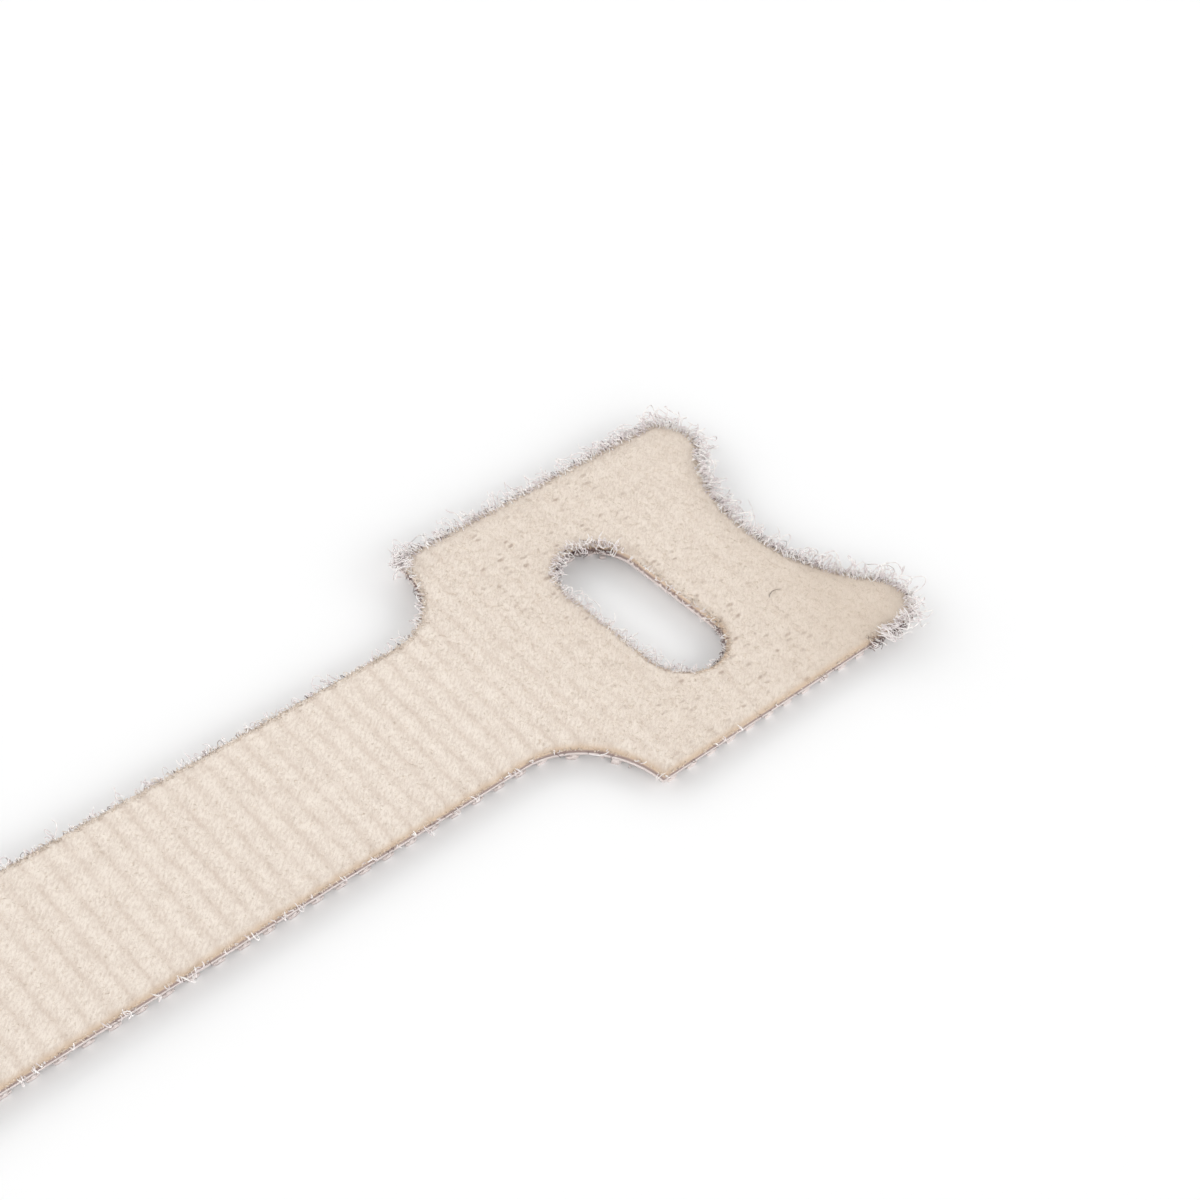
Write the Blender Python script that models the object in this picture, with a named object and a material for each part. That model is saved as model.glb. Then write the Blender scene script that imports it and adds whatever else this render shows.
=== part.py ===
"""Hook and loop cable tie, lying with its loop side up.

One flat strap is die cut from a laminate of two layers bonded back to back. The upper layer is a
knitted loop fabric with ribs across the strap. The lower layer is a thin moulded strip with rows of
hooks. The wide head has a slot that the tail passes through, and a hollow front that is the
tail of the next tie on the roll.

Units are metres, +Z is up, +X runs along the strap to the head. The origin is the middle of the
underside of the whole tie.
"""
import math

import bmesh
import bpy
from mathutils import Matrix

# Driving sizes of the die cut outline
TOTAL_LENGTH = 0.150
STRAP_WIDTH = 0.0125
HEAD_WIDTH = 0.025
HEAD_LENGTH = 0.0266
NECK_RADIUS = 0.00625
HEAD_CORNER_RADIUS = 0.0023
END_RADIUS = 0.0118
TAIL_CORNER_RADIUS = 0.002

# The slot lets the flat tail through with room at both edges, and sits a little off the middle line
SLOT_CLEARANCE = 0.0013
SLOT_WIDTH = 0.0065
SLOT_FROM_HEAD_BACK = 0.0102
SLOT_OFFSET = -0.0006

# Layers from the table up
HOOK_HEIGHT = 0.00045
FILM_THICKNESS = 0.0002
BOND_LINE = 0.00003
FABRIC_THICKNESS = 0.00055
RIB_HEIGHT = 0.00017

# Ribs of the loop fabric, which run across the strap
RIB_PITCH = 0.00153
GROOVE_WIDTH = 0.00026

# Rows of hooks, which run across the strap under the film
HOOK_PITCH = 0.0019
HOOK_HEAD_WIDTH = 0.0009
HOOK_STEM_WIDTH = 0.0003
HOOK_FLAT_WIDTH = 0.0004
HOOK_TIP_THICKNESS = 0.00009
HOOK_TIP_DROOP = 0.00005
HOOK_ROOT_FILLET = 0.00006

# Room that a blank or a cutter has past the outline, so that no faces coincide
MARGIN = 0.001

FABRIC_COLOUR = (0.745, 0.651, 0.546, 1.0)
HOOK_COLOUR = (0.735, 0.665, 0.585, 1.0)

FRONT = TOTAL_LENGTH / 2
TAIL = -TOTAL_LENGTH / 2
HEAD_BACK = FRONT - HEAD_LENGTH
HALF_STRAP = STRAP_WIDTH / 2
HALF_HEAD = HEAD_WIDTH / 2
SLOT_LENGTH = STRAP_WIDTH + SLOT_CLEARANCE
SLOT_CENTRE = HEAD_BACK + SLOT_FROM_HEAD_BACK

FILM_BOTTOM = HOOK_HEIGHT
FILM_TOP = FILM_BOTTOM + FILM_THICKNESS
FABRIC_BOTTOM = FILM_TOP + BOND_LINE
GROOVE_BOTTOM = FABRIC_BOTTOM + FABRIC_THICKNESS
RIB_CREST = GROOVE_BOTTOM + RIB_HEIGHT


def clear_scene():
    for thing in list(bpy.data.objects):
        bpy.data.objects.remove(thing, do_unlink=True)


def new_collection(name):
    group = bpy.data.collections.new(name)
    bpy.context.scene.collection.children.link(group)
    return group


def make_material(name, colour, roughness):
    """A Principled material of one colour."""
    material = bpy.data.materials.new(name)
    material.use_nodes = True
    shader = material.node_tree.nodes["Principled BSDF"]
    shader.inputs["Base Color"].default_value = colour
    shader.inputs["Roughness"].default_value = roughness
    shader.inputs["Metallic"].default_value = 0.0
    return material


def arc(centre_x, centre_y, radius, start, end, steps):
    """Points of an arc, both ends included, with its angles in degrees."""
    points = []
    for i in range(steps + 1):
        angle = math.radians(start + (end - start) * i / steps)
        points.append((centre_x + radius * math.cos(angle), centre_y + radius * math.sin(angle)))
    return points


def upper_half_outline():
    """The die line on the +Y side, from the hollow front round to the tail's end."""
    corner_x = FRONT - HEAD_CORNER_RADIUS
    corner_y = HALF_HEAD - HEAD_CORNER_RADIUS
    hollow_reach = END_RADIUS + HEAD_CORNER_RADIUS
    hollow_x = corner_x + math.sqrt(hollow_reach ** 2 - corner_y ** 2)
    meet = math.degrees(math.atan2(corner_y, corner_x - hollow_x))
    points = arc(hollow_x, 0.0, END_RADIUS, 180.0, meet, 8)
    points += arc(corner_x, corner_y, HEAD_CORNER_RADIUS, meet - 180.0, 90.0, 6)[1:]
    points.append((HEAD_BACK, HALF_HEAD))

    neck_radius = min(NECK_RADIUS, HALF_HEAD - HALF_STRAP)
    points += arc(HEAD_BACK - neck_radius, HALF_STRAP + neck_radius, neck_radius, 0.0, -90.0, 9)

    tail_y = HALF_STRAP - TAIL_CORNER_RADIUS
    end_x = TAIL + END_RADIUS
    tail_x = end_x - math.sqrt((END_RADIUS - TAIL_CORNER_RADIUS) ** 2 - tail_y ** 2)
    turn = math.degrees(math.atan2(tail_y, tail_x - end_x))
    points += arc(tail_x, tail_y, TAIL_CORNER_RADIUS, 90.0, turn, 4)
    points += arc(end_x, 0.0, END_RADIUS, turn, 180.0, 4)[1:]
    return points


def die_outline():
    """The whole die line: the +Y side, then its mirror image back to the front."""
    upper = upper_half_outline()
    lower = [(x, -y) for x, y in reversed(upper[1:-1])]
    return upper + lower


def slot_outline():
    """The slot, long across the strap, with fully round ends."""
    radius = SLOT_WIDTH / 2
    reach = SLOT_LENGTH / 2 - radius
    return (arc(SLOT_CENTRE, SLOT_OFFSET + reach, radius, 0.0, 180.0, 10)
            + arc(SLOT_CENTRE, SLOT_OFFSET - reach, radius, 180.0, 360.0, 10))


def add_flat_curve(name, outlines, thickness, group):
    """A filled 2D curve of closed outlines, with a thickness about its plane."""
    curve = bpy.data.curves.new(name, "CURVE")
    curve.dimensions = "2D"
    curve.fill_mode = "BOTH"
    curve.extrude = thickness / 2
    for outline in outlines:
        spline = curve.splines.new("POLY")
        spline.points.add(len(outline) - 1)
        for point, (u, v) in zip(spline.points, outline):
            point.co = (u, v, 0.0, 1.0)
        spline.use_cyclic_u = True
    thing = bpy.data.objects.new(name, curve)
    group.objects.link(thing)
    return thing


def curve_to_mesh(thing, group):
    """The curve object as a welded mesh object in the same place."""
    bpy.context.view_layer.update()
    evaluated = thing.evaluated_get(bpy.context.evaluated_depsgraph_get())
    mesh = bpy.data.meshes.new_from_object(evaluated)
    name = thing.name
    solid = bpy.data.objects.new(name + "_solid", mesh)
    solid.matrix_world = thing.matrix_world.copy()
    bpy.data.objects.remove(thing, do_unlink=True)
    solid.name = name
    group.objects.link(solid)
    work = bmesh.new()
    work.from_mesh(mesh)
    bmesh.ops.remove_doubles(work, verts=work.verts, dist=1e-7)
    bmesh.ops.recalc_face_normals(work, faces=work.faces)
    work.to_mesh(mesh)
    work.free()
    return solid


def add_die(group):
    """A prism of the die line with the slot through it, taller than both layers."""
    height = RIB_CREST + 2 * MARGIN
    die = add_flat_curve("die", [die_outline(), slot_outline()], height, group)
    die.location.z = RIB_CREST / 2
    die = curve_to_mesh(die, group)
    die.hide_render = True
    die.display_type = "WIRE"
    return die


def add_blank(name, profile, group):
    """A profile in X and Z pushed across the widest part of the tie."""
    blank = add_flat_curve(name, [profile], HEAD_WIDTH + 2 * MARGIN, group)
    blank.rotation_euler.x = math.radians(90.0)
    return curve_to_mesh(blank, group)


def span(pitch):
    """Starts of equal steps that cover the tie past both ends, with one step about the middle."""
    count = math.ceil((TOTAL_LENGTH / 2 + MARGIN) / pitch)
    return [(i - 0.5) * pitch for i in range(-count, count + 1)]


def flat_side(starts, pitch, z, first, last):
    """The flat side of a profile, back from last to first, with a point at the middle of each pitch."""
    middles = [x + pitch / 2 for x in starts[1:-1]]
    return [(last, z)] + [(x, z) for x in reversed(middles)] + [(first, z)]


def fabric_profile():
    """Rounded ribs with a narrow groove between them, on a flat back."""
    starts = span(RIB_PITCH)
    half_rib = (RIB_PITCH - GROOVE_WIDTH) / 2
    rib_radius = (half_rib ** 2 + RIB_HEIGHT ** 2) / (2 * RIB_HEIGHT)
    swing = math.degrees(math.asin(half_rib / rib_radius))
    top = []
    for x in starts:
        middle = x + RIB_PITCH / 2
        top += arc(middle, RIB_CREST - rib_radius, rib_radius, 90.0 + swing, 90.0 - swing, 4)
    return top + flat_side(starts, RIB_PITCH, FABRIC_BOTTOM, top[0][0], top[-1][0])


def hook_profile(middle):
    """One hook seen from the strap's edge, hanging from the film, from its -X root to its +X root.

    A stem widens at its root, and carries a head with a tip on each side that droops back to the
    film. The head ends in a small flat, which is what the tie lies on.
    """
    stem = HOOK_STEM_WIDTH / 2
    tip = HOOK_HEAD_WIDTH / 2
    flat = HOOK_FLAT_WIDTH / 2
    under = HOOK_HEIGHT * 0.5
    half = [
        (stem + HOOK_ROOT_FILLET, FILM_BOTTOM),
        (stem, FILM_BOTTOM - HOOK_ROOT_FILLET),
        (stem, under),
        (tip, under + HOOK_TIP_DROOP),
        (tip, under + HOOK_TIP_DROOP - HOOK_TIP_THICKNESS),
        (flat + (tip - flat) * 0.55, HOOK_HEIGHT * 0.12),
        (flat, 0.0),
    ]
    left = [(middle - u, z) for u, z in half]
    right = [(middle + u, z) for u, z in reversed(half)]
    return left + right


def hook_strip_profile():
    """The film with a row of hooks under it at every pitch."""
    starts = span(HOOK_PITCH)
    hooks = []
    for x in starts:
        hooks += hook_profile(x + HOOK_PITCH / 2)
    return hooks + flat_side(starts, HOOK_PITCH, FILM_TOP, hooks[0][0], hooks[-1][0])


def stamp(blank, die):
    """Keep only the part of the blank that is inside the die line."""
    cut = blank.modifiers.new("stamp", "BOOLEAN")
    cut.operation = "INTERSECT"
    cut.solver = "EXACT"
    cut.object = die
    bpy.context.view_layer.update()
    evaluated = blank.evaluated_get(bpy.context.evaluated_depsgraph_get())
    stamped = bpy.data.meshes.new_from_object(evaluated)
    stamped.transform(blank.matrix_world)
    blank.modifiers.clear()
    blank.data = stamped
    blank.matrix_world = Matrix.Identity(4)


def split_across(thing, pitch):
    """Cut every face at the end of each pitch, so that no face of a wall is as long as the tie."""
    work = bmesh.new()
    work.from_mesh(thing.data)
    for x in span(pitch):
        geometry = work.verts[:] + work.edges[:] + work.faces[:]
        bmesh.ops.bisect_plane(work, geom=geometry, dist=1e-7, plane_co=(x, 0, 0), plane_no=(1, 0, 0))
    work.to_mesh(thing.data)
    work.free()


def make_layer(name, profile, pitch, material, die, parts):
    """A layer with this profile, cut by the die."""
    layer = add_blank(name, profile, parts)
    stamp(layer, die)
    split_across(layer, pitch)
    layer.data.materials.clear()
    layer.data.materials.append(material)
    return layer


def main():
    clear_scene()
    parts = new_collection("hook_and_loop_cable_tie")
    cutters = new_collection("cutters")
    die = add_die(cutters)
    knit = make_material("loop_knit", FABRIC_COLOUR, 0.95)
    plastic = make_material("moulded_hooks", HOOK_COLOUR, 0.45)
    make_layer("loop_fabric", fabric_profile(), RIB_PITCH, knit, die, parts)
    make_layer("hook_backing", hook_strip_profile(), HOOK_PITCH, plastic, die, parts)


main()
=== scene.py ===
# %% [markdown]
# # A hook and loop cable tie
#
# The tie is one flat strap with a wide slotted head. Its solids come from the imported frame, in
# metres, with the strap along X, the head at +X and the table at Z = 0. This lesson dresses those
# solids: a knitted ground with ribs, a brushed pile of real fibres, a ragged fringe where the die
# cut the loops, and the moulded hooks underneath.

# %% Load the frame
import math

import bmesh
import bpy
import numpy as np
from mathutils import Matrix, Vector


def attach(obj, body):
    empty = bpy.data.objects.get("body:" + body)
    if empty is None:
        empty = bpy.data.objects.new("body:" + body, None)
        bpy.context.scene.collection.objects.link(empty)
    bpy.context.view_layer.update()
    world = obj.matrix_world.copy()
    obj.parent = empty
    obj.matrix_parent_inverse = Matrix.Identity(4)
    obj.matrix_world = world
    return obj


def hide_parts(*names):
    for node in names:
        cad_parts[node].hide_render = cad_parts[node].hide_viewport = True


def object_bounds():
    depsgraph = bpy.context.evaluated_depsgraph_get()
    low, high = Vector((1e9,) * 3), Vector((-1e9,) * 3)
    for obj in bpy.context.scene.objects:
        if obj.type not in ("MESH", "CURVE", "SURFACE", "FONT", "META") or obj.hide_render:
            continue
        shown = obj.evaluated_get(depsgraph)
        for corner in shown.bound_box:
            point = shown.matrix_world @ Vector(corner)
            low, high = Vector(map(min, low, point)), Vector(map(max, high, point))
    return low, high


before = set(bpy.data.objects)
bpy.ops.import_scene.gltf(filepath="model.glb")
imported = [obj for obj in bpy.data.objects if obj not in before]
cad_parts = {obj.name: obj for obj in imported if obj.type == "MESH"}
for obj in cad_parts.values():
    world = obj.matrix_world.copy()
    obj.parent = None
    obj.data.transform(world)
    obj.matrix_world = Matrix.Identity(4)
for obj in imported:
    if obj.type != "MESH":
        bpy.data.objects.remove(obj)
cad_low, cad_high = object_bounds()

MM = 0.001
print("CAD box", [round(v / MM, 2) for v in (*cad_low, *cad_high)], "mm")

# %% [markdown]
# ## The camera
#
# The picture was taken from the tail's side, about 40 degrees above the table, with a long lens.
# The place, the turn and the lens were found by fitting the die line's known proportions to the
# picture's edges, so they are written here as three angles, a position and a focal length.

# %% Camera
CAMERA_PLACE = (-0.056243, -0.081037, 0.12485)
CAMERA_TURN = -0.94025
CAMERA_TIP = 0.84737
CAMERA_ROLL = 0.20887
FOCAL_SHARE = 2766.0 / 1200
SENSOR_MM = 36.0

camera_data = bpy.data.cameras.new("camera")
camera_data.sensor_width = SENSOR_MM
camera_data.lens = FOCAL_SHARE * SENSOR_MM
camera_data.clip_start = 0.001
camera_data.clip_end = 20.0
camera = bpy.data.objects.new("camera", camera_data)
turned = (Matrix.Rotation(CAMERA_TURN, 4, "Z")
          @ Matrix.Rotation(CAMERA_TIP, 4, "X")
          @ Matrix.Rotation(CAMERA_ROLL, 4, "Z"))
camera.matrix_world = Matrix.Translation(CAMERA_PLACE) @ turned
bpy.context.scene.collection.objects.link(camera)
bpy.context.scene.camera = camera
print("lens", round(camera_data.lens, 1), "mm")

# %% [markdown]
# ## Shader maths as plain expressions
#
# A material is easier to read when its maths looks like maths. `Value` wraps one socket and turns
# `+`, `-`, `*` and `/` into Math nodes. `Board` adds every other node with one method.

# %% Value
class Value:
    """One number socket, with operators that add Math nodes."""

    def __init__(self, board, socket):
        self.board = board
        self.socket = socket

    def math(self, operation, *others, clamp=False):
        return self.board.math(operation, self, *others, clamp=clamp)

    def __add__(self, other):
        return self.math("ADD", other)

    __radd__ = __add__

    def __sub__(self, other):
        return self.math("SUBTRACT", other)

    def __rsub__(self, other):
        return self.board.math("SUBTRACT", other, self)

    def __mul__(self, other):
        return self.math("MULTIPLY", other)

    __rmul__ = __mul__

    def __truediv__(self, other):
        return self.math("DIVIDE", other)


# %% [markdown]
# `Board` is one material's node tree. Each method adds one kind of node, and what is fed to a
# socket may be a number, a colour, another socket or a `Value`.

# %% Board
class Board:
    """A material's node tree, with its Principled shader."""

    def __init__(self, name, constants):
        self.material = bpy.data.materials.new(name)
        self.material.use_nodes = True
        self.tree = self.material.node_tree
        self.shader = self.tree.nodes["Principled BSDF"]
        for socket, value in constants.items():
            self.shader.inputs[socket].default_value = value
        self.object_place = self.node("ShaderNodeTexCoord").outputs["Object"]

    def node(self, kind, settings=None, **sockets):
        made = self.tree.nodes.new(kind)
        for name, value in (settings or {}).items():
            setattr(made, name, value)
        for name, value in sockets.items():
            self.feed(made.inputs[name.replace("_", " ")], value)
        return made

    def feed(self, socket, value):
        if isinstance(value, Value):
            value = value.socket
        if isinstance(value, bpy.types.NodeSocket):
            self.tree.links.new(value, socket)
        else:
            socket.default_value = value

    def math(self, operation, *values, clamp=False):
        made = self.node("ShaderNodeMath", {"operation": operation, "use_clamp": clamp})
        for socket, value in zip(made.inputs, values):
            self.feed(socket, value)
        return Value(self, made.outputs[0])

    def stretched(self, x, y, z):
        """Object coordinates multiplied along each axis."""
        made = self.node("ShaderNodeVectorMath", {"operation": "MULTIPLY"})
        self.feed(made.inputs[0], self.object_place)
        made.inputs[1].default_value = (x, y, z)
        return made.outputs[0]

    def along(self, axis):
        made = self.node("ShaderNodeSeparateXYZ", Vector=self.object_place)
        return Value(self, made.outputs[axis])

    def noise(self, vector, detail=2.0, roughness=0.5):
        made = self.node("ShaderNodeTexNoise", Vector=vector, Scale=1.0,
                         Detail=detail, Roughness=roughness)
        return Value(self, made.outputs["Fac"])

    def blend(self, factor, first, second):
        """A colour between two colours."""
        made = self.node("ShaderNodeMix", {"data_type": "RGBA"})
        self.feed(made.inputs[0], factor)
        self.feed(made.inputs[6], first)
        self.feed(made.inputs[7], second)
        return made.outputs[2]

    def ramp(self, value, low, high):
        """0 below low and 1 above high, with a smooth change between them."""
        made = self.node("ShaderNodeMapRange", {"interpolation_type": "SMOOTHSTEP"})
        self.feed(made.inputs["Value"], value)
        made.inputs["From Min"].default_value = low
        made.inputs["From Max"].default_value = high
        return Value(self, made.outputs["Result"])

    def bump(self, height, distance):
        made = self.node("ShaderNodeBump", Height=height, Distance=distance)
        self.feed(self.shader.inputs["Normal"], made.outputs["Normal"])

    def colour(self, value):
        self.feed(self.shader.inputs["Base Color"], value)


# %% [markdown]
# Colours are written as they show on a screen, and turned into the shader's linear values.

# %% Tint
def tint(red, green, blue):
    """A shader colour from the 0 to 255 values that it shows as on a screen."""
    linear = [((v / 255 + 0.055) / 1.055) ** 2.4 for v in (red, green, blue)]
    return (*linear, 1.0)


print("a cream of 225 212 196 is", [round(v, 3) for v in tint(225, 212, 196)])

# %% [markdown]
# ## The die line
#
# The tie is stamped from a laminate. The same line cuts every layer, so it is worked out once,
# from the frame's own reach and a few radii, and every piece below is made from it.

# %% Die line
FRONT = cad_high.x
TAIL = cad_low.x
HALF_HEAD = cad_high.y
HALF_STRAP = 6.25 * MM
HEAD_BACK = FRONT - 26.6 * MM
NECK_RADIUS = 6.25 * MM
HEAD_CORNER_RADIUS = 2.3 * MM
END_RADIUS = 11.8 * MM
TAIL_CORNER_RADIUS = 2.0 * MM
SLOT_LENGTH = 13.8 * MM
SLOT_WIDTH = 6.5 * MM
SLOT_CENTRE = HEAD_BACK + 10.2 * MM
SLOT_OFFSET = -0.6 * MM


def arc(centre_x, centre_y, radius, start, end, steps):
    angles = np.radians(np.linspace(start, end, steps + 1))
    return np.stack([centre_x + radius * np.cos(angles), centre_y + radius * np.sin(angles)], 1)


# %% [markdown]
# Half of the outer line is drawn from arcs, and the other half is its mirror image.

# %% Outer line
def die_line():
    """The outer line, as a closed loop that starts at the middle of the hollow front."""
    corner_x = FRONT - HEAD_CORNER_RADIUS
    corner_y = HALF_HEAD - HEAD_CORNER_RADIUS
    hollow_x = corner_x + math.sqrt((END_RADIUS + HEAD_CORNER_RADIUS) ** 2 - corner_y ** 2)
    meet = math.degrees(math.atan2(corner_y, corner_x - hollow_x))
    tail_y = HALF_STRAP - TAIL_CORNER_RADIUS
    end_x = TAIL + END_RADIUS
    tail_x = end_x - math.sqrt((END_RADIUS - TAIL_CORNER_RADIUS) ** 2 - tail_y ** 2)
    turn = math.degrees(math.atan2(tail_y, tail_x - end_x))
    upper = np.concatenate([
        arc(hollow_x, 0.0, END_RADIUS, 180.0, meet, 20),
        arc(corner_x, corner_y, HEAD_CORNER_RADIUS, meet - 180.0, 90.0, 14)[1:],
        [(HEAD_BACK, HALF_HEAD)],
        arc(HEAD_BACK - NECK_RADIUS, HALF_STRAP + NECK_RADIUS, NECK_RADIUS, 0.0, -90.0, 18)[1:],
        arc(tail_x, tail_y, TAIL_CORNER_RADIUS, 90.0, turn, 8),
        arc(end_x, 0.0, END_RADIUS, turn, 180.0, 8)[1:],
    ])
    lower = upper[1:-1][::-1] * (1, -1)
    return np.concatenate([upper, lower])


# %% [markdown]
# The slot has two full round ends and sits a little to one side of the middle.

# %% Slot line
def slot_line():
    radius = SLOT_WIDTH / 2
    reach = SLOT_LENGTH / 2 - radius
    return np.concatenate([
        arc(SLOT_CENTRE, SLOT_OFFSET + reach, radius, 0.0, 180.0, 20),
        arc(SLOT_CENTRE, SLOT_OFFSET - reach, radius, 180.0, 360.0, 20),
    ])


OUTER = die_line()
SLOT = slot_line()


# %% [markdown]
# Everything below asks how far a place is from the cut: the ribs, the nap and the fringe.

# %% Depth inside
def distance_to(points, line):
    """Distance of each point to a closed line, and whether it is inside."""
    start = line
    end = np.roll(line, -1, 0)
    nearest = np.full(len(points), 1e9)
    crossings = np.zeros(len(points), int)
    x, y = points[:, 0], points[:, 1]
    for (ax, ay), (bx, by) in zip(start, end):
        dx, dy = bx - ax, by - ay
        share = np.clip(((x - ax) * dx + (y - ay) * dy) / (dx * dx + dy * dy + 1e-18), 0, 1)
        nearest = np.minimum(nearest, np.hypot(x - ax - share * dx, y - ay - share * dy))
        if ay != by:
            crossings += ((ay > y) != (by > y)) & (x < dx * (y - ay) / (by - ay) + ax)
    return nearest, crossings % 2 == 1


def depth_inside(points):
    """How far each point is inside the cut shape: negative outside it or in the slot."""
    outer, in_outer = distance_to(points, OUTER)
    slot, in_slot = distance_to(points, SLOT)
    return np.minimum(np.where(in_outer, outer, -outer), np.where(in_slot, -slot, slot))


print("die line of", len(OUTER), "points and a slot of", len(SLOT))

# %% [markdown]
# ## Smooth random heights
#
# Knitted pile is lumpy. `lumps` is a sum of a few random waves, cheap to work out for thousands of
# points and the same on every run. The fibres use it too, so that they lie on the same surface.

# %% Lumps
def lumps(x, y, size, seed, waves=14):
    """Smooth noise of about -1 to 1 with lumps of about this size."""
    random = np.random.default_rng(seed)
    total = np.zeros_like(x)
    for _ in range(waves):
        heading = random.uniform(0, 2 * math.pi)
        rate = 2 * math.pi / size * random.uniform(0.6, 1.5)
        phase = random.uniform(0, 2 * math.pi)
        total += np.sin(rate * (x * math.cos(heading) + y * math.sin(heading)) + phase)
    return total / math.sqrt(waves / 2) / 2


print("lumps at one place:", round(float(lumps(np.array([0.0]), np.array([0.0]), MM, 1)[0]), 3))

# %% [markdown]
# ## Heights of the layers
#
# The hooks stand on the table, the film lies on them and the fabric on the film. The knit has ribs
# across the strap, a little out of square with the die. Each rib is a soft cushion with a narrow
# groove beside it. On the head the brushing has filled most grooves. At the cut edge the pile
# rounds over, and more so along the near side behind the front, where the blade pressed it down.

# %% Layer heights
HOOK_HEIGHT = 0.45 * MM
FILM_TOP = 0.65 * MM
FABRIC_BOTTOM = 0.68 * MM
GROOVE_BOTTOM = 1.20 * MM
RIB_HEIGHT = 0.17 * MM
RIB_PITCH = 1.53 * MM
RIB_LEAN = 0.09
HOOK_PITCH = 1.9 * MM
RIB_RELIEF = 0.04 * MM
SHOULDER = 0.9 * MM
EDGE_DROP_MM = 0.13
NEAR_DROP_MM = 0.21
EDGE_CURVE = 2.4
NEAR_START = 3 * MM
NEAR_WIDTH = 2 * MM
GRAIN_MM = 0.006
SWELL_MM = 0.012
print("ribs lean by", round(math.degrees(RIB_LEAN), 1), "degrees")


# %% [markdown]
# `pile_top` gives the height of the face at any place. The ground takes its shape from it, and
# the fibres start on it.

# %% Brushed surface
def rib_phase(x, y):
    """Whole numbers are the grooves."""
    return (x - RIB_LEAN * y) / RIB_PITCH + 0.5


def head_share(x):
    """0 on the strap and 1 on the head."""
    return np.clip((x - HEAD_BACK + 5 * MM) / (9 * MM), 0, 1)


def pile_top(x, y, depth):
    """Height of the brushed surface."""
    wander = 0.10 * lumps(x, y, 5 * MM, 5) * (1 + head_share(x))
    phase = rib_phase(x, y) + wander
    from_groove = np.abs(phase - np.round(phase)) * 2
    groove = np.exp(-(from_groove / 0.4) ** 2)
    fade = 1 - 0.8 * head_share(x) + 0.4 * lumps(x, y, 3 * MM, 3)
    top = GROOVE_BOTTOM + RIB_HEIGHT - RIB_RELIEF * groove * np.clip(fade, 0.1, 1.3)
    grain = GRAIN_MM * MM * lumps(x, y, 0.5 * MM, 7)
    swell = SWELL_MM * MM * lumps(x, y, 2.2 * MM, 8)
    top = top + grain + swell
    near_side = np.clip((-y - NEAR_START) / NEAR_WIDTH, 0, 1)
    behind_front = np.clip((FRONT - NEAR_START - x) / NEAR_WIDTH, 0, 1)
    near = near_side * behind_front
    inset = np.clip(1 - depth / SHOULDER, 0, 1)
    return top - (EDGE_DROP_MM + NEAR_DROP_MM * near) * MM * inset ** EDGE_CURVE


print("rib crest at", round((GROOVE_BOTTOM + RIB_HEIGHT) / MM, 2), "mm")

# %% [markdown]
# ## Stamping a layer
#
# A layer is a sheet with a fine grid on top, and the die is a tall prism of the die line with the
# slot through it. A Boolean keeps what is inside the die, so that the edge is exact and the
# middle keeps its even grid, which takes the ribs well.

# %% Stamp
work_group = bpy.data.collections.new("work")
bpy.context.scene.collection.children.link(work_group)


def link(name, data, group=None):
    thing = bpy.data.objects.new(name, data)
    (group or bpy.context.scene.collection).objects.link(thing)
    return thing


def baked(thing):
    """The object's mesh with its modifiers, or its curve as a mesh."""
    bpy.context.view_layer.update()
    evaluated = thing.evaluated_get(bpy.context.evaluated_depsgraph_get())
    return bpy.data.meshes.new_from_object(evaluated)


# %% [markdown]
# The die is drawn as a flat curve with a hole, which Blender fills and extrudes.

# %% Die
def make_die():
    """The prism of the die line, as a closed mesh."""
    curve = bpy.data.curves.new("die", "CURVE")
    curve.dimensions = "2D"
    curve.fill_mode = "BOTH"
    curve.extrude = 5 * MM
    for line in (OUTER, SLOT):
        spline = curve.splines.new("POLY")
        spline.points.add(len(line) - 1)
        for point, (x, y) in zip(spline.points, line):
            point.co = (x, y, 0.0, 1.0)
        spline.use_cyclic_u = True
    drawn = link("die_curve", curve, work_group)
    mesh = baked(drawn)
    bpy.data.objects.remove(drawn, do_unlink=True)
    work = bmesh.new()
    work.from_mesh(mesh)
    bmesh.ops.remove_doubles(work, verts=work.verts, dist=1e-7)
    bmesh.ops.recalc_face_normals(work, faces=work.faces)
    work.to_mesh(mesh)
    work.free()
    return link("die", mesh, work_group)


# %% [markdown]
# The slab to be cut has its fine grid on top only. Underneath, strips across are enough.

# %% Slab
def make_slab(name, step_x, step_y, bottom, top):
    """A box past the whole tie, with a fine grid on top and strips across underneath."""
    margin = 1 * MM
    xs = np.arange(TAIL - margin, FRONT + margin, step_x)
    ys = np.linspace(-HALF_HEAD - margin, HALF_HEAD + margin, int(2 * HALF_HEAD / step_y) + 2)
    grid_x, grid_y = np.meshgrid(xs, ys, indexing="ij")
    upper = np.stack([grid_x, grid_y, np.full_like(grid_x, top)], -1).reshape(-1, 3)
    under = np.array([(x, y, bottom) for x in xs for y in (ys[0], ys[-1])])
    points = np.concatenate([upper, under])
    across = len(ys)
    first_under = len(upper)
    faces = []
    for i in range(len(xs) - 1):
        row, following = i * across, (i + 1) * across
        low, low_next = first_under + 2 * i, first_under + 2 * (i + 1)
        faces += [(row + j, following + j, following + j + 1, row + j + 1)
                  for j in range(across - 1)]
        faces.append((low, low + 1, low_next + 1, low_next))
        faces.append((row, low, low_next, following))
        faces.append((row + across - 1, following + across - 1, low_next + 1, low + 1))
    last = (len(xs) - 1) * across
    faces.append([*range(across), first_under + 1, first_under])
    faces.append([*range(last + across - 1, last - 1, -1),
                  first_under + 2 * (len(xs) - 1), first_under + 2 * (len(xs) - 1) + 1])
    mesh = bpy.data.meshes.new(name)
    mesh.from_pydata(points.tolist(), [], faces)
    return link(name, mesh)


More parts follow.
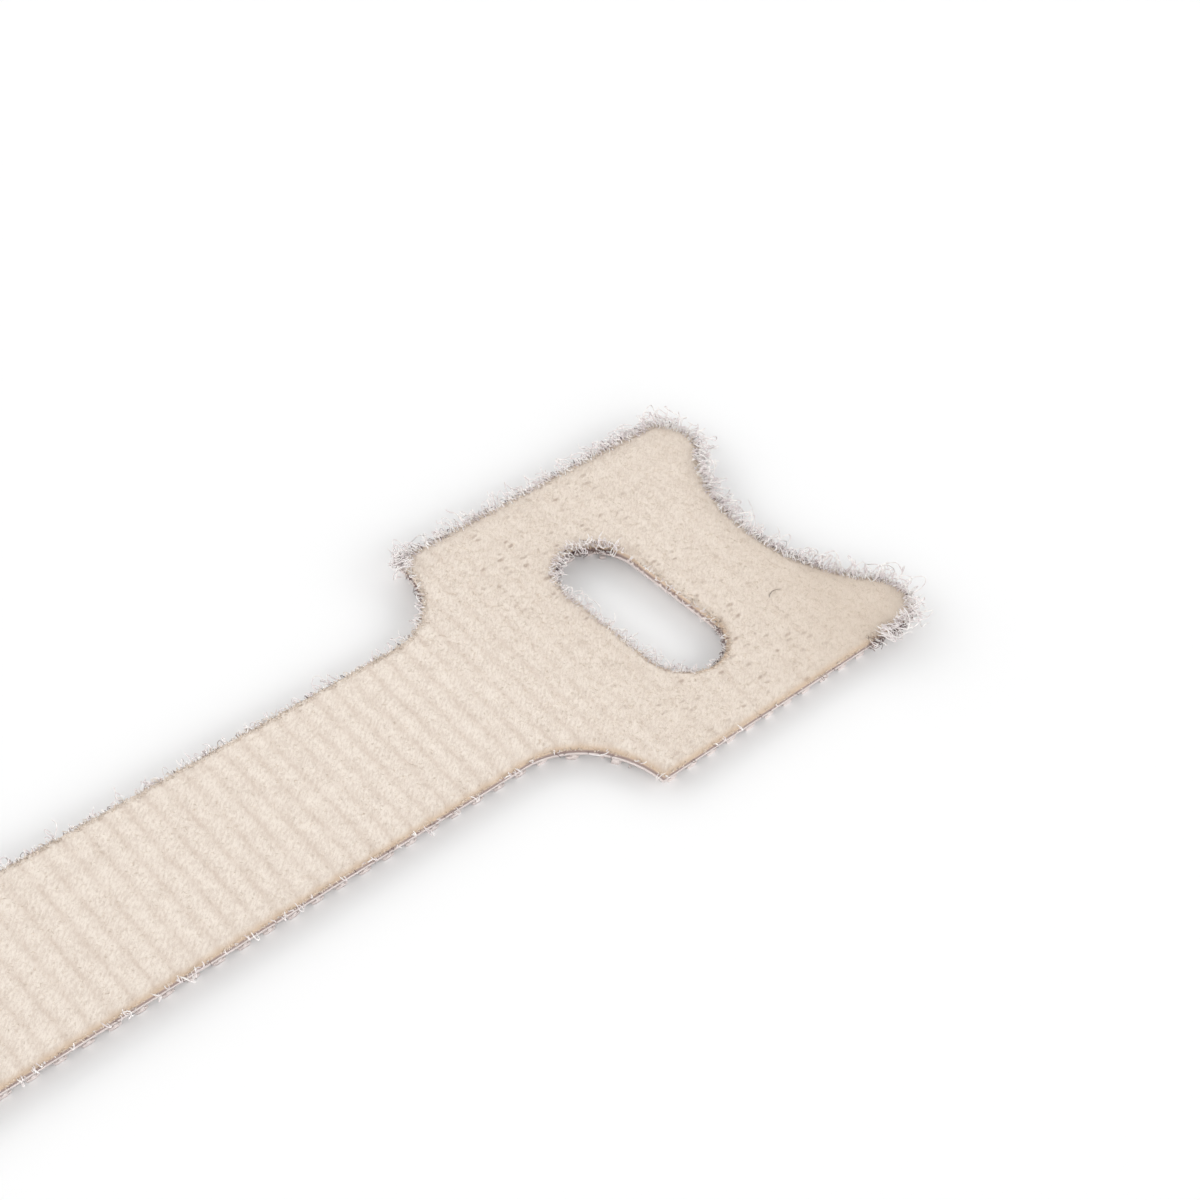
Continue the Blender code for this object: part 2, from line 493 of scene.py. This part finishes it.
# %% [markdown]
# One modifier makes the cut, and the result replaces the slab's mesh.

# %% Cut
def stamp(thing, die):
    """Keep what is inside the die."""
    cut = thing.modifiers.new("stamp", "BOOLEAN")
    cut.operation = "INTERSECT"
    cut.solver = "EXACT"
    cut.object = die
    stamped = baked(thing)
    thing.modifiers.clear()
    thing.data = stamped


die = make_die()
print("die has", len(die.data.polygons), "faces")

# %% [markdown]
# ## The knitted ground
#
# The ground is a closed layer about 0.7 mm thick. Its top vertices take the height of
# `pile_top`, and the rest of the cut wall stays straight.

# %% Ground
ground = make_slab("knitted_ground", RIB_PITCH / 9, 0.3 * MM, FABRIC_BOTTOM, GROOVE_BOTTOM)
stamp(ground, die)
flat = np.empty(len(ground.data.vertices) * 3, np.float32)
ground.data.vertices.foreach_get("co", flat)
place = flat.reshape(-1, 3).astype(float)
is_top = place[:, 2] > FABRIC_BOTTOM + 0.1 * MM
top_depth = np.maximum(depth_inside(place[is_top, :2]), 0)
place[is_top, 2] = pile_top(place[is_top, 0], place[is_top, 1], top_depth)
ground.data.vertices.foreach_set("co", place.astype(np.float32).ravel())
ground.data.update()
ground.data.shade_smooth()
ground.data.set_sharp_from_angle(angle=math.radians(60))
print("ground has", len(ground.data.vertices), "vertices")

# %% [markdown]
# ## Finish of the loop side
#
# The knit is a warm cream with painted shade in the groove beside each rib. Small pores show
# where the stitches pull in, mostly beside the slot, as painted shade in their pits. Fine grain
# stands for the loops that are too thin to model one by one. The cream goes a little darker on
# the head and towards the front end. The pressed shoulder has painted tan shade along the near
# side and round the slot, and the cut wall has painted mauve shade. The fringe is paler and
# cooler, because light comes through it.

# %% Loop materials
CREAM = tint(239, 228, 216)
SHADE_CREAM = tint(219, 205, 192)
FRONT_CREAM = tint(210, 194, 177)
# colours of painted shade: the grooves, the pores, the shoulder and the cut wall
GROOVE_SHADE = tint(201, 182, 167)
PORE_SHADE = tint(150, 122, 104)
SHOULDER_SHADE = tint(209, 186, 163)
WALL_SHADE = tint(157, 138, 132)
PORE_STEP = 0.62 * MM
PICTURE_UP = (0.82, 0.57)
print("a pore each", round(PORE_STEP / MM, 2), "mm across the strap")


def make_knit():
    board = Board("knit", {"Roughness": 0.95, "Specular IOR Level": 0.2,
                           "Sheen Weight": 0.12, "Sheen Roughness": 0.6})
    along, across, height = (board.along(axis) for axis in range(3))
    grain = board.noise(board.stretched(14000, 10000, 9000), detail=3.0, roughness=0.7)
    up_x, up_y = PICTURE_UP
    leaning = board.node("ShaderNodeCombineXYZ", X=(along * up_x + across * up_y) * 2300,
                         Y=(across * up_x - along * up_y) * 6200).outputs[0]
    fleck = board.noise(leaning, detail=2.0, roughness=0.7)
    mottle = board.noise(board.stretched(700, 700, 0), detail=3.0)
    broad = board.noise(board.stretched(150, 150, 0), detail=2.0)
    wobble = board.noise(board.stretched(260, 420, 0), detail=1.0) - 0.5
    # ribs, with painted shade in their grooves, partly in broken dark dashes
    on_head = board.ramp(along, HEAD_BACK - 4 * MM, HEAD_BACK + 7 * MM)
    phase = (along - across * RIB_LEAN) / RIB_PITCH + 0.5 + wobble * 0.2
    from_groove = (phase - phase.math("ROUND")).math("ABSOLUTE")
    groove_shade_dashes = board.ramp(board.noise(board.stretched(900, 520, 0), detail=2.0), 0.34, 0.62)
    groove = (1 - board.ramp(from_groove, 0.02, 0.16)) * groove_shade_dashes * 0.5
    groove = groove + (1 - board.ramp(from_groove, 0.0, 0.42)) * 0.6
    groove = groove * (1 - on_head * 0.65)
    # pores in rows, most of them beside the slot: painted shade in their pits, and dents in the
    # bump
    skewed = board.node("ShaderNodeCombineXYZ", X=phase,
                        Y=across / PORE_STEP + wobble * 0.8).outputs[0]
    cells = board.node("ShaderNodeTexVoronoi", Randomness=0.45, Scale=1.0, Vector=skewed)
    spot = Value(board, cells.outputs["Distance"])
    some = board.ramp(board.noise(board.stretched(1300, 1300, 0), detail=1.0), 0.42, 0.58)
    near_slot = 1 - board.ramp((along - SLOT_CENTRE).math("ABSOLUTE"), 4 * MM, 11 * MM)
    pore = (1 - board.ramp(spot, 0.05, 0.34)) * some * (0.08 + near_slot * 0.92)
    # colours, from the cream to the painted shade of the grooves and pores
    cream = board.blend(board.ramp(fleck * 0.6 + grain * 0.2 + mottle * 0.2, 0.38, 0.60),
                        SHADE_CREAM, CREAM)
    # the cream goes a little darker on the head, and more towards the front end
    front_darkening = board.ramp(along - across * 0.5, FRONT - 12 * MM, FRONT + 4 * MM)
    cream = board.blend(on_head * 0.2 + front_darkening * (0.3 + broad * 0.5), cream, FRONT_CREAM)
    # painted shade in the grooves beside the ribs
    cream = board.blend(groove * (0.25 + broad * 0.3), cream, GROOVE_SHADE)
    # painted shade in the pores
    cream = board.blend(pore * 0.6, cream, PORE_SHADE)
    # painted tan shade on the pressed shoulder, along the near side and round the slot, and
    # painted mauve shade on the cut wall, by height
    near_side = 1 - board.ramp(across, -5 * MM, -3 * MM)
    slot_zone = near_slot * (1 - board.ramp(across.math("ABSOLUTE"), 8 * MM, 10 * MM))
    shoulder_shade_share = (near_side + slot_zone) * 0.9 + 0.1
    low = 1 - board.ramp(height, 1.02 * MM, 1.30 * MM)
    cream = board.blend(low * shoulder_shade_share, cream, SHOULDER_SHADE)
    # painted mauve shade on the cut wall below the shoulder
    board.colour(board.blend(1 - board.ramp(height, 0.80 * MM, 1.0 * MM), cream, WALL_SHADE))
    board.bump(grain + fleck * 0.7 - pore, 0.00002)
    return board.material


def make_fibre_finish(name, light, dark):
    board = Board(name, {"Roughness": 0.75, "Specular IOR Level": 0.3})
    tone = board.noise(board.stretched(2500, 2500, 2500), detail=1.0)
    board.colour(board.blend(board.ramp(tone, 0.3, 0.7), dark, light))
    return board.material


knit = make_knit()
ground.data.materials.clear()
ground.data.materials.append(knit)
nap_finish = make_fibre_finish("nap_fibre", tint(242, 230, 217), tint(226, 212, 197))
fringe_finish = make_fibre_finish("fringe_fibre", tint(254, 251, 248), tint(232, 222, 222))
# the roots are coloured dark as painted shade under the fringe
root_shade_finish = make_fibre_finish("root_shade_fibre", tint(160, 138, 132), tint(100, 80, 80))
print("materials for the loop side:", knit.name, nap_finish.name, fringe_finish.name)

# %% [markdown]
# ## Fibres as thin closed tubes
#
# Each fibre of the pile is a tube with three sides and pointed ends. Many thousands of them in one
# mesh catch light and shade as brushed loops do, which a flat texture can't do at the edges.

# %% Tubes
def unit(vectors):
    return vectors / np.maximum(np.linalg.norm(vectors, axis=-1, keepdims=True), 1e-12)


def make_tubes(name, lines, radius, material):
    """One mesh with a tube along each line. lines holds a row of points for each fibre."""
    count, length, _ = lines.shape
    tangent = unit(np.gradient(lines, axis=1))
    reference = np.random.default_rng(count).normal(size=(count, 1, 3))
    side = unit(np.cross(tangent, reference))
    up = np.cross(tangent, side)
    rings = []
    for corner in range(3):
        angle = 2 * math.pi * corner / 3
        rings.append(lines[:, 1:-1] + radius[:, None, None]
                     * (side[:, 1:-1] * math.cos(angle) + up[:, 1:-1] * math.sin(angle)))
    body = np.stack(rings, 2).reshape(count, -1, 3)
    points = np.concatenate([lines[:, :1], body, lines[:, -1:]], 1)
    per_fibre = points.shape[1]
    faces = []
    for corner in range(3):
        following = (corner + 1) % 3
        faces.append((0, 1 + following, 1 + corner))
        for ring in range(length - 3):
            here, ahead = 1 + 3 * ring, 4 + 3 * ring
            faces.append((here + corner, here + following, ahead + following))
            faces.append((here + corner, ahead + following, ahead + corner))
        last = 1 + 3 * (length - 3)
        faces.append((last + corner, last + following, per_fibre - 1))
    every = np.array(faces)[None] + (np.arange(count) * per_fibre)[:, None, None]
    every = every.reshape(-1, 3).astype(np.int32)
    mesh = bpy.data.meshes.new(name)
    mesh.vertices.add(count * per_fibre)
    mesh.vertices.foreach_set("co", points.astype(np.float32).ravel())
    mesh.loops.add(every.size)
    mesh.loops.foreach_set("vertex_index", every.ravel())
    mesh.polygons.add(len(every))
    mesh.polygons.foreach_set("loop_start", np.arange(0, every.size, 3, dtype=np.int32))
    mesh.update(calc_edges=True)
    mesh.shade_smooth()
    mesh.materials.append(material)
    print(name, "has", count, "fibres and", len(every), "triangles")
    return link(name, mesh)


# %% [markdown]
# ## The nap
#
# The face is a short pile of loops. Each is a small arch that starts in the knit, rises less
# than a tenth of a millimetre and dips back in. They are packed densely on the head, which the
# picture shows best, and thinly on the tail. The gaps between them give it its fine grain.

# %% Nap
NAP_RADIUS = 0.010 * MM
NAP_POINTS = 5


def nap_lines(low_x, high_x, per_mm2, seed):
    """Small arches scattered evenly over the cut shape between two places along X."""
    random = np.random.default_rng(seed)
    reach = HALF_HEAD if high_x > HEAD_BACK - NECK_RADIUS else HALF_STRAP
    count = int((high_x - low_x) * 2 * reach / MM ** 2 * per_mm2)
    start = np.stack([random.uniform(low_x, high_x, count),
                      random.uniform(-reach, reach, count)], 1)
    start = start[depth_inside(start) > 0.04 * MM]
    count = len(start)
    heading = random.uniform(0, 2 * math.pi, count)
    length = random.uniform(0.12, 0.34, count) * MM
    rise = random.uniform(0.01, 0.035, count) * MM * (1 + head_share(start[:, 0]))
    share = np.linspace(0, 1, NAP_POINTS)[None]
    x = start[:, :1] + length[:, None] * share * np.cos(heading)[:, None]
    y = start[:, 1:] + length[:, None] * share * np.sin(heading)[:, None]
    depth = np.clip(depth_inside(np.stack([x.ravel(), y.ravel()], 1)), 0, None)
    top = pile_top(x.ravel(), y.ravel(), depth).reshape(x.shape)
    z = top - 0.012 * MM + rise[:, None] * np.sin(math.pi * share)
    return np.stack([x, y, z], 2)


nap_areas = [(TAIL, -12 * MM, 3), (-12 * MM, 20 * MM, 9), (20 * MM, HEAD_BACK - NECK_RADIUS, 11),
             (HEAD_BACK - NECK_RADIUS, 58 * MM, 17), (58 * MM, FRONT, 17)]
nap_pieces = []
for index, (low_x, high_x, per_mm2) in enumerate(nap_areas):
    lines = nap_lines(low_x, high_x, per_mm2, 20 + index)
    radius = np.full(len(lines), NAP_RADIUS)
    nap_pieces.append(make_tubes(f"nap_{index + 1}", lines, radius, nap_finish))

# %% [markdown]
# ## The fringe
#
# Where the die cut the loops, fibres stand out of the edge. They are thickest in the hollow
# front, at the head's far back corner and at the slot's far end, a little thinner along the
# head's far edge, short on the strap, and nearly absent along the near edges. A fine cream fuzz
# blurs the rim of the face, and short roots, coloured dark as painted shade, fill the wall under
# it.

# %% Fringe
CURL_POINTS = 13
FUZZ_POINTS = 6
ROOT_POINTS = 7
THIN = (0.014, 0.024)


def walk(line, spacing):
    """Points at an even spacing along a closed line, with the outward direction at each."""
    following = np.roll(line, -1, 0)
    step = following - line
    length = np.hypot(step[:, 0], step[:, 1])
    total = np.concatenate([[0], np.cumsum(length)])
    at = np.arange(0, total[-1], spacing)
    index = np.clip(np.searchsorted(total, at, side="right") - 1, 0, len(line) - 1)
    share = (at - total[index]) / np.maximum(length[index], 1e-12)
    place = line[index] + step[index] * share[:, None]
    heading = step[index] / np.maximum(length[index], 1e-12)[:, None]
    normal = np.stack([heading[:, 1], -heading[:, 0]], 1)
    wrong = depth_inside(place + normal * 0.05 * MM) > 0
    normal[wrong] *= -1
    return place, normal


# %% [markdown]
# Each function gives a share from 0 to 1 for places on a line. A curl grows there with that
# chance, and reaches further where the share is high.

# %% Where the fringe grows
def front_share(place):
    """The hollow front, where the fringe is thickest."""
    return np.where(place[:, 0] > FRONT - 4.8 * MM, 1.0, 0.0)


def far_strap(x, y):
    """Whether a place is on the strap's far edge."""
    return (y > HALF_STRAP * 0.8) & (x < HEAD_BACK)


def edge_share(place):
    """How much fringe there is at a place of the other edges, from 0 to 1."""
    x, y = place[:, 0], place[:, 1]
    share = np.full(len(x), 0.10)
    share[far_strap(x, y)] = 0.3
    share[(y > HALF_HEAD * 0.9) & (x > HEAD_BACK - 0.5 * MM)] = 0.9
    share[(y < -HALF_HEAD * 0.9)] = 0.02
    share[front_share(place) > 0] = 0.0
    return share


def corner_share(place):
    """The white frayed tuft at the head's far back corner."""
    away = np.hypot(place[:, 0] - HEAD_BACK, place[:, 1] - HALF_HEAD)
    return np.where(away < 1.0 * MM, 1.0, 0.0)


def rim_share(place):
    """How much fringe there is round the slot."""
    share = np.full(len(place), 0.25)
    share[place[:, 0] < SLOT_CENTRE - SLOT_WIDTH * 0.2] = 0.85
    share[place[:, 1] > SLOT_OFFSET + SLOT_LENGTH * 0.36] = 1.0
    return share


def root_shade_share(place):
    """The dark tangle of painted shade: in the hollow front, at the slot's two ends and along the
    far edges.
    """
    x, y = place[:, 0], place[:, 1]
    share = np.full(len(x), 0.02)
    share[far_strap(x, y)] = 0.25
    share[(y > HALF_HEAD * 0.9) & (x > HEAD_BACK)] = 0.6
    share[x > FRONT - 6.0 * MM] = 0.8
    in_slot = (np.abs(x - SLOT_CENTRE) < SLOT_WIDTH * 0.6) & (np.abs(y) < HALF_HEAD * 0.8)
    share[in_slot & (y > SLOT_OFFSET + SLOT_LENGTH * 0.38)] = 1.0
    share[in_slot & (x > SLOT_CENTRE) & (y < SLOT_OFFSET - SLOT_LENGTH * 0.3)] = 0.6
    return share


def fuzz_share(place):
    """Cream fuzz that blurs the far edges of the face, and less of it elsewhere."""
    x, y = place[:, 0], place[:, 1]
    share = np.full(len(x), 0.2)
    share[(y > HALF_STRAP * 0.8) & (x > 0)] = 0.8
    share[x > FRONT - 6 * MM] = 1.0
    return share


def even(place):
    return np.ones(len(place))


# %% [markdown]
# A curl starts on the face or in the wall, goes out along the cut's normal and turns on its way.
# Most of them come back as loops.

# %% Curls
def fringe_lines(line, share_of, per_mm, reach_mm, points, seed, top_share, rise_share):
    """Curls that stand out of the cut edge. Longer ones grow where the share is high.

    top_share of them start on the face, and the others in the wall."""
    random = np.random.default_rng(seed)
    place, normal = walk(line, MM / per_mm)
    keep = random.uniform(size=len(place)) < share_of(place)
    place, normal = place[keep], normal[keep]
    count = len(place)
    strength = share_of(place)[:, None]
    tangent = np.stack([-normal[:, 1], normal[:, 0]], 1)
    share = np.linspace(0, 1, points)[None]
    loops = random.uniform(size=(count, 1)) < 0.7
    reach = np.clip(random.gamma(3.5, reach_mm / 3.5, (count, 1)), 0, 2.4 * reach_mm) * MM
    reach = reach * (0.55 + 0.45 * strength)
    out = np.where(loops, np.sin(math.pi * share), share ** 0.8) * reach
    swing = random.normal(0, 0.7, (count, 1)) * reach
    curl = random.uniform(0.05, 0.24, (count, 1)) * reach
    phase = random.uniform(0, 2 * math.pi, (count, 1))
    turns = random.uniform(0.6, 1.5, (count, 1)) * 2 * math.pi
    along = swing * share + curl * (np.sin(turns * share + phase) - np.sin(phase))
    back = random.uniform(0.0, 0.6, (count, 1)) * MM * strength
    on_top = random.uniform(size=(count, 1)) < top_share
    base = place - normal * np.where(on_top, back, 0.03 * MM)
    surface = pile_top(base[:, 0], base[:, 1], np.where(on_top, back, 0)[:, 0])[:, None]
    wall = random.uniform(FABRIC_BOTTOM, GROOVE_BOTTOM - 0.1 * MM, (count, 1))
    height = np.where(on_top, surface - 0.02 * MM, wall)
    lift = random.normal(rise_share, 0.26, (count, 1)) * reach
    z = height + lift * share + curl * (np.cos(turns * share + phase) - np.cos(phase))
    x = base[:, :1] + normal[:, :1] * out + tangent[:, :1] * along
    y = base[:, 1:] + normal[:, 1:] * out + tangent[:, 1:] * along
    return np.stack([x, y, np.clip(z, 0.12 * MM, 2.2 * MM)], 2)


def grow(name, line, share_of, per_mm, reach_mm, points, thick, finish, seed,
         top_share=0.85, rise_share=0.5):
    """One piece of fringe along a line. thick is the least and the largest radius in mm."""
    lines = fringe_lines(line, share_of, per_mm, reach_mm, points, seed, top_share, rise_share)
    radius = np.random.default_rng(seed + 1).uniform(*thick, len(lines)) * MM
    return make_tubes(name, lines, radius, finish)

# %% [markdown]
# Curls come first, then the cream fuzz on the rim, then the dark roots of painted shade in the
# wall.

# %% Fringe pieces
fringe_pieces = [
    grow("front_curls", OUTER, front_share, 20, 0.70, CURL_POINTS, (0.034, 0.048),
         fringe_finish, 39),
    grow("edge_curls", OUTER, edge_share, 13, 0.62, CURL_POINTS, (0.032, 0.046),
         fringe_finish, 41),
    grow("corner_curls", OUTER, corner_share, 44, 0.58, CURL_POINTS, (0.030, 0.044),
         fringe_finish, 53),
    grow("slot_curls", SLOT, rim_share, 17, 0.46, CURL_POINTS, (0.026, 0.038),
         fringe_finish, 43),
    grow("edge_fuzz", OUTER, fuzz_share, 40, 0.20, FUZZ_POINTS, THIN, nap_finish, 45, 1.0, 0.05),
    grow("slot_fuzz", SLOT, even, 26, 0.18, FUZZ_POINTS, THIN, nap_finish, 47, 1.0, 0.05),
    grow("edge_shade_roots", OUTER, root_shade_share, 34, 0.36, ROOT_POINTS, THIN, root_shade_finish, 49, 0.1, 0.0),
    grow("slot_shade_roots", SLOT, root_shade_share, 44, 0.24, FUZZ_POINTS, THIN, root_shade_finish, 51, 0.1, 0.0),
]

# %% [markdown]
# Two single hairs catch the eye in the picture: a long straight one that stands out of the hollow
# front, and a short dark one that lies on the head.

# %% Single hairs
hair_share = np.linspace(0, 1, 12)[:, None]


def bent(start, middle, end):
    """A smooth line from a start to an end, drawn towards a middle point."""
    start, middle, end = (np.array(p) * MM for p in (start, middle, end))
    line = (1 - hair_share) ** 2 * start + 2 * hair_share * (1 - hair_share) * middle
    return (line + hair_share ** 2 * end)[None]


stray = make_tubes("stray_hair", bent((70.6, -0.6, 1.1), (71.9, 0.6, 1.8), (72.3, 2.0, 2.2)),
                   np.array([0.028 * MM]), fringe_finish)
dark_finish = make_fibre_finish("dark_hair", tint(120, 98, 84), tint(92, 74, 64))
dark_line = bent((66.4, -5.5, 1.38), (67.1, -4.9, 1.46), (67.9, -5.4, 1.38))
dark_hair = make_tubes("dark_hair", dark_line, np.array([0.018 * MM]), dark_finish)

# %% [markdown]
# ## The film and its hooks
#
# Under the fabric lies a thin moulded film. Rows of hooks hang from it: each is a short slice of
# one section with a stem and a head whose two tips droop back. The die cuts through those at the
# edge, which shows as pale tabs, so the hooks are stamped by the same prism.

# %% Film
film = make_slab("hook_film", HOOK_PITCH / 2, 30 * MM, HOOK_HEIGHT, FILM_TOP)
stamp(film, die)

# %% [markdown]
# One hook is drawn as half a section and mirrored, then pushed through its thickness.

# %% Hooks
HOOK_STEP = 1.02 * MM
HOOK_THICKNESS = 0.42 * MM
HOOK_STEM = 0.15 * MM
HOOK_TIP = 0.45 * MM
HOOK_FLAT = 0.2 * MM
HOOK_SINK = 0.03 * MM
HOOK_PAST = 0.5 * MM
HOOK_COLUMNS = 60
HOOK_ROWS = 12

hook_half = [
    (HOOK_STEM + 0.06 * MM, HOOK_HEIGHT + HOOK_SINK),
    (HOOK_STEM + 0.05 * MM, HOOK_HEIGHT),
    (HOOK_STEM, HOOK_HEIGHT - 0.06 * MM),
    (HOOK_STEM, HOOK_HEIGHT * 0.62),
    (HOOK_TIP - 0.03 * MM, HOOK_HEIGHT * 0.66),
    (HOOK_TIP, HOOK_HEIGHT * 0.36),
    (HOOK_FLAT + 0.14 * MM, HOOK_HEIGHT * 0.08),
    (HOOK_FLAT, 0.0),
]
hook_section = [(-u, z) for u, z in hook_half] + [(u, z) for u, z in reversed(hook_half)]


def make_hooks():
    """Every hook whose middle is within the die line or just past it."""
    columns = np.arange(-HOOK_COLUMNS, HOOK_COLUMNS + 1) * HOOK_PITCH
    rows = np.arange(-HOOK_ROWS, HOOK_ROWS + 1) * HOOK_STEP
    middles = np.array([(x, y) for x in columns for y in rows])
    middles = middles[depth_inside(middles) > -HOOK_PAST]
    corners = len(hook_section)
    points, faces = [], []
    for x, y in middles:
        first = len(points)
        for end in (-HOOK_THICKNESS / 2, HOOK_THICKNESS / 2):
            points += [(x + u, y + end, z) for u, z in hook_section]
        near = [first + i for i in range(corners)]
        far = [first + corners + i for i in range(corners)]
        faces.append(near[::-1])
        faces.append(far)
        faces += [(near[i], near[(i + 1) % corners], far[(i + 1) % corners], far[i])
                  for i in range(corners)]
    mesh = bpy.data.meshes.new("moulded_hooks")
    mesh.from_pydata(points, [], faces)
    work = bmesh.new()
    work.from_mesh(mesh)
    bmesh.ops.recalc_face_normals(work, faces=work.faces)
    work.to_mesh(mesh)
    work.free()
    print(len(middles), "hooks")
    return link("moulded_hooks", mesh)


hooks = make_hooks()
stamp(hooks, die)


# %% [markdown]
# The film, the hooks and the beads share one slightly cloudy plastic.

# %% Plastic
def make_plastic():
    board = Board("hook_plastic", {"Roughness": 0.42, "IOR": 1.5})
    cloud = board.noise(board.stretched(900, 900, 900), detail=2.0)
    board.colour(board.blend(cloud, tint(212, 199, 195), tint(234, 224, 220)))
    board.bump(board.noise(board.stretched(6000, 6000, 6000), detail=1.0), 0.00001)
    return board.material


# %% [markdown]
# Along the slot's far wall the cut film shows a row of tiny pale beads, where the die pulled the
# plastic out. Each bead is a small sphere half sunk in the wall.

# %% Beads
BEAD_STEP = 0.52 * MM


def make_beads():
    random = np.random.default_rng(61)
    reach = SLOT_LENGTH / 2 - SLOT_WIDTH * 0.42
    work = bmesh.new()
    for y in np.arange(SLOT_OFFSET - reach, SLOT_OFFSET + reach, BEAD_STEP):
        radius = random.uniform(0.07, 0.13) * MM
        height = random.uniform(0.60, 0.76) * MM
        at = (SLOT_CENTRE + SLOT_WIDTH / 2 - 0.02 * MM, y + random.uniform(-0.1, 0.1) * MM, height)
        bmesh.ops.create_icosphere(work, subdivisions=2, radius=radius,
                                   matrix=Matrix.Translation(at))
    mesh = bpy.data.meshes.new("slot_beads")
    work.to_mesh(mesh)
    work.free()
    mesh.shade_smooth()
    print("beads:", len(mesh.polygons), "triangles")
    return link("slot_beads", mesh)


beads = make_beads()
plastic = make_plastic()
for thing in (film, hooks, beads):
    thing.data.materials.clear()
    thing.data.materials.append(plastic)

bpy.data.objects.remove(die, do_unlink=True)
bpy.data.collections.remove(work_group)

# %% [markdown]
# ## What rides on what
#
# The tie has no joints, so every piece rides on the one body. The ground stands for the CAD fabric
# and the film for the CAD hook strip. The fabric's cut area is worked out from the die line.

# %% Declare
fabric_pieces = [*nap_pieces, *fringe_pieces, stray, dark_hair]
for thing in [ground, film, hooks, beads, *fabric_pieces]:
    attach(thing, "root")
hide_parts("loop_fabric")
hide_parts("hook_backing")

CELL = 0.5 * MM
cells = np.stack(np.meshgrid(np.arange(TAIL, FRONT, CELL),
                             np.arange(-HALF_HEAD, HALF_HEAD, CELL)), -1).reshape(-1, 2)
cut_area = float((depth_inside(cells) > 0).sum()) * CELL ** 2
print("cut area", round(cut_area / MM ** 2), "square mm")

# %% [markdown]
# ## The studio
#
# The picture has a white ground with only a tight soft shadow round the tie, as under a large
# light tent. A white world does nearly all of it. Its light comes from a broad band between about
# 15 and 30 degrees above the table, all the way round, which gives the halo the picture's depth
# and reach. The floor is white and diffuse.

# %% Studio
FLOOR_REACH = 3.0
floor_mesh = bpy.data.meshes.new("floor")
floor_mesh.from_pydata([(-FLOOR_REACH, -FLOOR_REACH, 0), (FLOOR_REACH, -FLOOR_REACH, 0),
                        (FLOOR_REACH, FLOOR_REACH, 0), (-FLOOR_REACH, FLOOR_REACH, 0)],
                       [], [(0, 1, 2, 3)])
floor = link("floor", floor_mesh)
floor_board = Board("floor_white", {"Base Color": (0.94, 0.94, 0.94, 1.0), "Roughness": 1.0,
                                    "Specular IOR Level": 0.0})
floor_mesh.materials.append(floor_board.material)

BAND_STRENGTH = 2.91
BAND = [(0.0, 0.10), (0.17, 0.3), (0.26, 1.0), (0.50, 1.0), (0.60, 0.20), (1.0, 0.06)]
world = bpy.data.worlds.new("tent")
world.use_nodes = True
bpy.context.scene.world = world
world_nodes, world_links = world.node_tree.nodes, world.node_tree.links
sky = world_nodes["Background"]
heading = world_nodes.new("ShaderNodeTexCoord")
parts = world_nodes.new("ShaderNodeSeparateXYZ")
world_links.new(heading.outputs["Generated"], parts.inputs[0])
band = world_nodes.new("ShaderNodeValToRGB")
while len(band.color_ramp.elements) < len(BAND):
    band.color_ramp.elements.new(0.5)
for element, (height, level) in zip(band.color_ramp.elements, BAND):
    element.position = height
    element.color = (level, level, level, 1.0)
world_links.new(parts.outputs["Z"], band.inputs["Fac"])
world_links.new(band.outputs["Color"], sky.inputs["Color"])
sky.inputs["Strength"].default_value = BAND_STRENGTH

LAMP_PLACE = (0.05, 0.55, 0.75)
LAMP_AIM = (0.05, 0.0, 0.0)
LAMP_SIZE = 0.6
LAMP_WATTS = 0.3
lamp_data = bpy.data.lights.new("broad_lamp", "AREA")
lamp_data.shape = "DISK"
lamp_data.size = LAMP_SIZE
lamp_data.energy = LAMP_WATTS
lamp = link("broad_lamp", lamp_data)
lamp.location = LAMP_PLACE
aim = Vector(LAMP_AIM) - lamp.location
lamp.rotation_euler = aim.to_track_quat("-Z", "Y").to_euler()

bpy.context.scene.view_settings.view_transform = "Standard"
print("strength of the band", BAND_STRENGTH)
